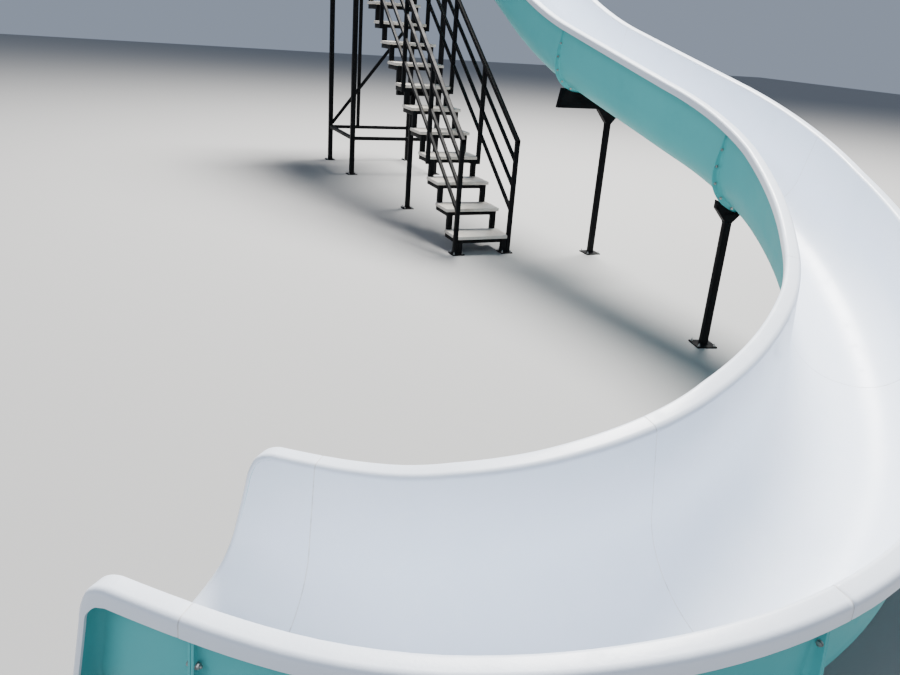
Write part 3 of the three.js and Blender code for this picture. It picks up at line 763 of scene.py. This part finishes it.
def section_half(offset):
    """Right half of the section, from the floor's middle to the bottom of the lip, moved outwards from
    the wetted face by an offset."""
    edge = EDGE_ROUND - offset
    floor = [(TURN_X * k / FLOOR_POINTS, -DEPTH - offset) for k in range(FLOOR_POINTS)]
    corner = arc(TURN_X, TURN_Z, CORNER_RADIUS + offset, -90, 0, CORNER_POINTS - 1)
    inner = arc(CREASE_HALF + EDGE_ROUND, -EDGE_ROUND, edge, 180, 90, ROUND_STEPS)
    outer = arc(RIM_HALF - EDGE_ROUND, -EDGE_ROUND, edge, 90, 0, ROUND_STEPS)
    foot, head = Vector(corner[-1]), Vector(inner[0])
    climbs = [1 - (1 - k / (WALL_POINTS + 1)) ** WALL_CROWDING for k in range(1, WALL_POINTS + 1)]
    wall = [tuple(foot.lerp(head, climb)) for climb in climbs]
    lip = [(RIM_HALF - offset, -EDGE_ROUND - (LIP_DROP - EDGE_ROUND) * k / 2) for k in (1, 2)]
    return floor + corner + wall + inner + outer + lip


def mirrored(half):
    """Both halves as one line from the left end to the right end."""
    return [(-x, z) for x, z in half[:0:-1]] + half


def gelcoat(name, color, patch_color, chalk_color, gloss, shine, wave):
    """Moulded skin, chalked in patches; gloss is its range of roughness, shine its coat and specular."""
    skin = Finish(name, color, gloss[0], Coat_Weight=shine[0], Coat_Roughness=0.12,
                  Specular_IOR_Level=shine[1])
    broad = skin.effect(PATCHES, Scale=1.7, Start=0.4, Full=0.68)
    fine = skin.effect(PATCHES, Scale=14.0, Start=0.5, Full=0.72)
    base = skin.blend(broad, color, patch_color)
    skin.feed("Base Color", skin.blend(skin.between(fine, 0.0, 0.3), base, chalk_color))
    skin.feed("Roughness", skin.between(fine, *gloss))
    skin.relief((skin.effect(SKIN, Peel=95.0, Wave=wave, Wave_share=0.8), 0.0016),
                (skin.noise(Scale=620.0, Detail=1.0), 0.00008))
    return skin.material


# The white gelcoat's base, patch and chalk colours are tinted blue. This is painted shade of blue
# skylight over a gelcoat that is plain white.
WHITE_WITH_PAINTED_SKY_SHADE = gelcoat("white_gelcoat_painted_sky_shade", (0.765, 0.83, 0.93), (0.735, 0.805, 0.91), (0.815, 0.865, 0.945),
                (0.34, 0.47), (0.05, 0.36), 5.0)
TEAL = gelcoat("teal_gelcoat", (0.105, 0.500, 0.520), (0.095, 0.475, 0.497), (0.12, 0.525, 0.54),
               (0.45, 0.58), (0.0, 0.08), 6.0)

SEAL_HALF = 0.0018
GROOVE = 0.0007
END_EASE = 0.012
STATION_SPACING = 0.055
LIP_SPANS = 3
wet_line = mirrored(section_half(0.0))
outer_line = mirrored(section_half(SHELL))
groove_line = mirrored(section_half(GROOVE))
WET_COUNT = len(wet_line)


def shell_runs(start, end):
    """Runs of the stations of one length, close together at its ends where the edge is eased."""
    count = max(2, math.ceil((end - start) / STATION_SPACING))
    inner = [start + END_EASE + (end - start - 2 * END_EASE) * k / count for k in range(count + 1)]
    return [start, start + GROOVE, *inner, end - GROOVE, end]


def shell_finish(i, j):
    """White over the wetted face, the rim and the lip, teal over the outer skin."""
    return 0 if j < WET_COUNT + LIP_SPANS or j >= 2 * WET_COUNT - LIP_SPANS else 1


def section_ring(run, inside, outside):
    """A station's points along one line of the section and back along another."""
    spot = Station(run)
    return [spot.point(*p) for p in inside + outside[::-1]]


def close_end(work, ring):
    """The shell's cut end, on points of its own so that its edge stays crisp."""
    verts = [work.mesh.verts.new(p) for p in ring]
    for j in range(WET_COUNT - 1):
        work.mesh.faces.new((verts[j], verts[j + 1], verts[-2 - j], verts[-1 - j]))


def flume_shell(work, start, end):
    rings = [section_ring(run, groove_line if run in (start, end) else wet_line, outer_line)
             for run in shell_runs(start, end)]
    work.rings(rings, caps=False, finish=shell_finish)
    close_end(work, rings[0])
    close_end(work, rings[-1])


# Flanges: a turned-out rib 8 mm thick and 40 mm high round the outside of each end that is bolted to
# the next, laid up with the shell, with a fillet in its corner and an eased edge.
FLANGE = 0.040
FLANGE_THICK = 0.008
FLANGE_TIP = SHELL + FLANGE
FLANGE_FACE = 0.0006
FLANGE_EASE = 0.0015
TIP_TOP = -0.004
TIP_LEAN = 0.013
FILLET = 0.016
ROOT_OUT = 0.004
WALL_TOP = FLOOR_POINTS + CORNER_POINTS + WALL_POINTS
root_half = section_half(SHELL)[:WALL_TOP]
tip_half = []
for x, z in root_half:
    if x <= TURN_X:
        tip_half.append((x, -DEPTH - FLANGE_TIP))
    elif z <= TURN_Z:
        turn = Vector((TURN_X, TURN_Z))
        out = (Vector((x, z)) - turn).normalized() * (CORNER_RADIUS + FLANGE_TIP)
        tip_half.append(tuple(turn + out))
    else:
        tip_half.append((INNER_HALF + FLANGE_TIP - TIP_LEAN * (z - TURN_Z) / (TIP_TOP - TURN_Z), z))
root_line = mirrored(root_half)
tip_line = mirrored(tip_half)

# The rib in section, as how far on from the joint and how far out from the wetted face.
FLANGE_SHAPE = ([(FLANGE_FACE, ROOT_OUT), (FLANGE_FACE, FLANGE_TIP - FLANGE_EASE), (0.0020, FLANGE_TIP),
                 (FLANGE_THICK - FLANGE_EASE, FLANGE_TIP), (FLANGE_THICK, FLANGE_TIP - FLANGE_EASE)]
                + arc(FLANGE_THICK + FILLET, SHELL + FILLET, FILLET, 180, 270, 5)
                + [(FLANGE_THICK + FILLET, ROOT_OUT)])


def on_flange(spot, index, out, ahead=0.0):
    """A point at a distance out from the wetted face, on the line of section point number index."""
    i = min(int(index), len(root_line) - 2)
    root, tip = (Vector(line[i]).lerp(Vector(line[i + 1]), index - i) for line in (root_line, tip_line))
    return spot.point(*root.lerp(tip, (out - SHELL) / FLANGE), ahead)


def flange(work, joint, way):
    spot = Station(joint)
    work.rings([[on_flange(spot, i, out, way * ahead) for ahead, out in FLANGE_SHAPE]
                for i in range(len(root_line))], finish=1)


for i, name in enumerate(LENGTHS):
    work = Work(f"flume_{name}_moulding", WHITE_WITH_PAINTED_SKY_SHADE, TEAL)
    flume_shell(work, JOINTS[i] + (SEAL_HALF if i else 0.0), JOINTS[i + 1] - SEAL_HALF)
    if i:
        flange(work, JOINTS[i], 1)
    flange(work, JOINTS[i + 1], -1)
    work.place(f"flume_{name}", slot="gelcoat", sharp=40.0)


# Exit: the last length, cut back in a curve at its end. Its rim runs on round the corner and down the
# end edge, a little wider there, as a return flange with a turned-back lip.
EXIT_RIM = 11.713
EXIT_EDGE = ((-0.052, 0.0), (0.0, -0.021), (0.024, -0.073), (0.033, -0.142), (0.046, -0.250),
             (0.060, -0.345), (0.077, -0.430), (0.125, -0.560), (0.205, -0.720))
EDGE_STEPS = 6
EXIT_SPANS = 14
EXIT_SKEW = 0.065
EDGE_NEAR = 0.004
FACE_LAP = 0.0008
RETURN_WIDTH = 0.085
RETURN_LIP = 0.024
RETURN_FILLET = 0.020
RETURN_TURN = -0.100
RETURN_SIDE = -0.200
RETURN_WHITE = 2 * ROUND_STEPS + 4


def smooth_line(points):
    """A curve through the points with even tangents, level at its start."""
    points = [Vector(p) for p in points]
    ends = [Vector((points[0].x * 2 - points[1].x, points[1].y))] + points + [points[-1]]
    line = []
    for i in range(1, len(ends) - 2):
        a, b, c, d = ends[i - 1:i + 3]
        for t in (k / EDGE_STEPS for k in range(EDGE_STEPS)):
            line.append(0.5 * ((2 * b) + (c - a) * t + (2 * a - 5 * b + 4 * c - d) * t * t
                               + (3 * b - 3 * c + d - a) * t ** 3))
    return line + [points[-1]]


edge_line = smooth_line(EXIT_EDGE)


def reach_at(line, height):
    """How far past the rim's end a falling line is at a height."""
    for a, b in zip(line, line[1:]):
        if b.y <= height <= a.y:
            return a.x + (b.x - a.x) * (a.y - height) / max(a.y - b.y, 1e-9)
    return line[0].x if height > line[0].y else line[-1].x


def edge_normal(height):
    """The way that the exit's end edge faces at a height."""
    above, below = min(height + EDGE_NEAR, -1e-4), height - EDGE_NEAR
    slope = Vector((reach_at(edge_line, below) - reach_at(edge_line, above), below - above)).normalized()
    return Vector((-slope.y, slope.x))


def exit_point(across, up, ahead):
    """A point of the exit by its distance past the rim's end, where the path runs straight on."""
    return Station(EXIT_RIM + min(ahead, 0.0)).point(across, up, max(ahead, 0.0))


inset_line = []
for i, point in enumerate(edge_line):
    slope = (edge_line[min(i + 1, len(edge_line) - 1)] - edge_line[max(i - 1, 0)]).normalized()
    inset_line.append(point - Vector((-slope.y, slope.x)) * EDGE_ROUND)


def face_end(x, z):
    """How far past the rim's end the wetted face runs, to just under the rounding of the end edge."""
    if z > TURN_Z:
        return reach_at(inset_line, z)
    normal = edge_normal(z)
    turned = max(0.0, abs(x) - TURN_X) / CORNER_RADIUS
    return reach_at(edge_line, z) - EDGE_ROUND * math.hypot(1.0, turned * normal.y / normal.x) + FACE_LAP


work = Work("flume_exit_moulding", WHITE_WITH_PAINTED_SKY_SHADE, TEAL)
start = JOINTS[-1] + SEAL_HALF
first = start - EXIT_RIM
rings = []
for k in range(EXIT_SPANS + 1):
    ring = []
    for x, z in (wet_line if k else groove_line) + outer_line[::-1]:
        on_face = abs(x) < RIM_HALF - EDGE_ROUND and z < -EDGE_ROUND + HAIR
        in_lip = abs(x) > CREASE_HALF + EDGE_ROUND and z > -LIP_DROP - HAIR
        end = face_end(x, z) if on_face and not in_lip else EXIT_EDGE[0][0]
        ring.append(exit_point(x, z, first + (end + EXIT_SKEW * x - first) * (k / EXIT_SPANS)))
    rings.append(ring)
work.rings(rings, caps=False, finish=shell_finish)
close_end(work, rings[0])
flange(work, JOINTS[-1], 1)

left_half = [Vector((-CREASE_HALF + p.y / TURN_Z * (CREASE_HALF - INNER_HALF), p.x, p.y))
             for p in edge_line if p.y > RETURN_SIDE]
left_half += [Vector((-x, reach_at(edge_line, z), z))
              for x, z in section_half(0.0)[::-1] if z < RETURN_SIDE and x < INNER_HALF + HAIR]
full_path = left_half + [Vector((-p.x, p.y, p.z)) for p in left_half[-2::-1]]
rings = []
for i, point in enumerate(full_path):
    if i in (0, len(full_path) - 1):
        along, face = -BACK if i else BACK, UP
    else:
        along = (full_path[i + 1] - full_path[i - 1]).normalized()
        face = Vector((0, *edge_normal(point.z)))
    face = (face - along * face.dot(along)).normalized()
    out = face.cross(along)
    back = (along * along.y - BACK).normalized() if point.z < RETURN_TURN else -face
    blend = min(1.0, max(0.0, point.z / RETURN_TURN))
    blend = blend * blend * (3 - 2 * blend)
    width = min(RETURN_WIDTH, RIM_HALF - abs(point.x))
    lip = LIP_DROP * (1 - blend) + RETURN_LIP * blend
    root = SHELL + RETURN_FILLET
    inner = arc(EDGE_ROUND, EDGE_ROUND, EDGE_ROUND, -180, -90, ROUND_STEPS)
    outer = arc(width - EDGE_ROUND, EDGE_ROUND, EDGE_ROUND, -90, 0, ROUND_STEPS)
    outer += [(width, lip), (width - SHELL, lip), (width - SHELL, EDGE_ROUND),
              (width - EDGE_ROUND, SHELL)]
    outer += arc(root, root, RETURN_FILLET, 270, 180, 4)
    spots = [point + out * across + back * deep for across, deep in inner]
    spots += [point + out * across - face * deep for across, deep in outer]
    rings.append([exit_point(spot.x, spot.z, spot.y + EXIT_SKEW * spot.x) for spot in spots])
work.rings(rings, finish=lambda i, j: 0 if j < RETURN_WHITE else 1)
work.place("flume_exit", slot="gelcoat", sharp=40.0)


# Joint bolts: hexagon bolts through each pair of flanges every 112 mm, a nut and washer on the upper
# side and the head on the lower. Zinc plated. One joint has lost one of them.
BOLT_SPACING = 0.112
BOLT_CLEAR = 0.020
BOLT_SIZE = 0.0095
BOLT_STUD = 0.006
BOLT_OUT = SHELL + FLANGE * 0.52
LOOSE_JOINT = 5
LOST_SHARE = 0.12


def flange_marks():
    """Section point numbers, whole and part, at an even spacing both ways from the floor's middle."""
    steps = [0.0]
    for a, b in zip(root_line, root_line[1:]):
        steps.append(steps[-1] + (Vector(b) - Vector(a)).length)
    middle = steps[-1] / 2
    count = int((middle - BOLT_CLEAR) / BOLT_SPACING)
    marks = []
    for k in range(-count, count + 1):
        target = middle + k * BOLT_SPACING
        i = max(n for n, s in enumerate(steps) if s <= target)
        marks.append(i + (target - steps[i]) / (steps[i + 1] - steps[i]))
    return marks


for number, joint in enumerate(JOINTS[1:], 1):
    work = Work(f"joint_bolts_{number}", FIXINGS)
    spot = Station(joint)
    for mark in flange_marks():
        if number == LOOSE_JOINT and random.random() < LOST_SHARE:
            continue
        work.bolt(on_flange(spot, mark, BOLT_OUT, FLANGE_THICK), spot.along, BOLT_SIZE)
        work.bolt(on_flange(spot, mark, BOLT_OUT, -FLANGE_THICK), -spot.along, BOLT_SIZE, stud=BOLT_STUD)
    work.place()


# Joint seals: pale grey sealant in the groove between one flume length and the next, smoothed off a
# little below the gelcoat.
def sealant():
    grey = Finish("pale_sealant", (0.64, 0.66, 0.70), 0.5)
    dirt = grey.effect(PATCHES, Scale=25.0, Start=0.4, Full=0.7)
    grey.feed("Base Color", grey.blend(dirt, (0.68, 0.70, 0.74), (0.52, 0.54, 0.58)))
    grey.feed("Roughness", grey.between(dirt, 0.45, 0.7))
    grey.relief((grey.noise(Scale=160.0), 0.0004))
    return grey.material


SEALANT = sealant()
SEAL_BACK = 0.004
seal_back = mirrored(section_half(SEAL_BACK))
for number, joint in enumerate(JOINTS[1:], 1):
    work = Work(f"joint_seal_{number}", SEALANT)
    work.rings([section_ring(run, groove_line, seal_back)
                for run in (joint - SEAL_HALF, joint, joint + SEAL_HALF)], caps=False)
    work.place()


# Slide posts: 50 mm square tube from a base plate up to a flared head that is cut to the flange above
# it. The first stands to one side, under a saddle plate that reaches across the flume. Black, like the
# stair.
POST_TUBE = 0.050
POST_PLATE = 0.150
HEAD_RISE = 0.036
HEAD_OVERLAP = 0.010
HEAD_TOP, HEAD_TOP_IN_SADDLE = 0.080, 0.010
SADDLE_REACH = (-0.226, 0.495)
SADDLE_HEIGHT = 0.135
SADDLE_EDGE = 0.004
SADDLE_STEEP = (5.5, 4.7)
SADDLE_TOP = 0.040
SADDLE_THICK = 0.040
PLATE_POINTS = 24
TIP = CORNER_RADIUS + FLANGE_TIP + GAP
SLIDE_POSTS = (
    # joint, how far the post stands to one side, its head's width and height, whether it has a saddle
    (2, 0.331, 0.264, 0.128, True),
    (3, -0.118, 0.210, 0.092, False),
    (4, -0.105, 0.210, 0.092, False),
    (5, -0.105, 0.210, 0.092, False),
)


def flange_under(spot, across):
    """Height of the flange's underside at a level distance across from the flume's middle."""
    side = max(0.0, abs(across) - TURN_X)
    if side >= TIP:
        return spot.middle.z
    bank = spot.across.z / spot.level.dot(spot.across)
    return spot.middle.z + bank * across + (TURN_Z - math.sqrt(TIP ** 2 - side ** 2)) * spot.up.z


def cut_plate(work, spot, foot, left, right, bottom, top, thick):
    """Upright plate across the flume over a post's foot, its top cut to the flange."""
    across = [left + (right - left) * k / PLATE_POINTS for k in range(PLATE_POINTS + 1)]
    outline = [(a, bottom(a)) for a in across]
    outline += [(a, min(top(a), flange_under(spot, a))) for a in across[::-1]]
    work.solid_outline(outline, -thick / 2, thick / 2, edge=0.0015,
                       matrix=standing((foot.x, foot.y, 0), spot.level, UP, spot.level.cross(UP)))


for number, (joint, offset, head_width, head_height, saddle) in enumerate(SLIDE_POSTS, 1):
    work = Work(f"post_{number}", BLACK_PAINT, FIXINGS)
    spot = Station(JOINTS[joint])
    under = spot.point(0.0, -(DEPTH + FLANGE_TIP))
    foot = under + spot.level * offset
    shoulder = under.z + (-SADDLE_HEIGHT if saddle else HEAD_RISE)
    neck = shoulder - head_height
    head_top = shoulder + (HEAD_TOP_IN_SADDLE if saddle else HEAD_TOP)

    def head_foot(a):
        """Bottom edge of the flared head: level over the tube, then rising to the head's full width."""
        reach = max(0.0, abs(a - offset) - POST_TUBE / 2)
        return neck + reach * head_height / ((head_width - POST_TUBE) / 2)

    def saddle_top(a):
        """Top edge of the saddle plate: steep at its two ends and level between them."""
        low, high = SADDLE_REACH
        rise = min((a - low) * SADDLE_STEEP[0], (high - a) * SADDLE_STEEP[1])
        return min(under.z + SADDLE_TOP, shoulder + SADDLE_EDGE + rise)

    work.tube([(foot.x, foot.y, TUBE_FOOT), (foot.x, foot.y, neck + HEAD_OVERLAP)], POST_TUBE,
              side=spot.level)
    foot_plate(work, foot.x, foot.y, POST_PLATE, POST_TUBE, angle=-spot.heading)
    cut_plate(work, spot, under, offset - head_width / 2, offset + head_width / 2, head_foot,
              lambda a: head_top, POST_TUBE - 2 * HAIR)
    work.weld((foot.x, foot.y, neck), spot.level, spot.level.cross(UP), POST_TUBE, FOOT_WELD)
    if saddle:
        cut_plate(work, spot, under, *SADDLE_REACH, lambda a: shoulder, saddle_top, SADDLE_THICK)
    work.place(f"slide_post_{number}", slot="steel")


# Floor, light and camera: a plain grey floor, a broad lamp high up behind on the right, a weak one in
# front and a pale sky all round. The camera stands where the picture was taken from.
floor_mesh = bpy.data.meshes.new("floor")
floor_mesh.from_pydata([(-40, -40, 0), (40, -40, 0), (40, 40, 0), (-40, 40, 0)], [], [(0, 1, 2, 3)])
floor_mesh.materials.append(Finish("studio_floor", (0.31, 0.31, 0.31), 0.9).material)
floor = linked("floor", floor_mesh)


def soft_lamp(name, place, aim, size, power, color):
    lamp = bpy.data.lights.new(name, "AREA")
    lamp.shape = "DISK"
    lamp.size = size
    lamp.energy = power
    lamp.color = color
    holder = linked(name, lamp)
    holder.location = place
    holder.rotation_euler = (Vector(aim) - Vector(place)).to_track_quat("-Z", "Y").to_euler()


soft_lamp("key_lamp", (5.0, 4.5, 15.5), (-0.5, -2.0, 1.0), 8.0, 16000.0, (1.0, 0.97, 0.925))
soft_lamp("fill_lamp", (-9.0, -9.0, 8.0), (0.0, -1.0, 1.0), 6.0, 420.0, (0.90, 0.94, 1.0))

world = bpy.data.worlds.new("studio")
world.use_nodes = True
backdrop = world.node_tree.nodes["Background"]
backdrop.inputs["Color"].default_value = (0.67, 0.79, 1.0, 1.0)
backdrop.inputs["Strength"].default_value = 0.40
bpy.context.scene.world = world

CAMERA_PLACE = (-2.965, -6.676, 1.999)
CAMERA_TURN, CAMERA_DOWN, CAMERA_LEAN = (math.radians(a) for a in (-23.954, 21.228, 4.344))
lens = bpy.data.cameras.new("camera")
lens.sensor_fit = "HORIZONTAL"
lens.sensor_width = 36.0
lens.lens = 32.267
lens.clip_end = 200.0
level = Vector((math.cos(CAMERA_TURN), math.sin(CAMERA_TURN), 0))
ahead = Vector((-math.sin(CAMERA_TURN) * math.cos(CAMERA_DOWN),
                math.cos(CAMERA_TURN) * math.cos(CAMERA_DOWN), -math.sin(CAMERA_DOWN)))
upright = level.cross(ahead)
right = level * math.cos(CAMERA_LEAN) + upright * math.sin(CAMERA_LEAN)
upright = upright * math.cos(CAMERA_LEAN) - level * math.sin(CAMERA_LEAN)
camera = linked("camera", lens)
camera.matrix_world = standing(CAMERA_PLACE, right, upright, -ahead)
bpy.context.scene.camera = camera
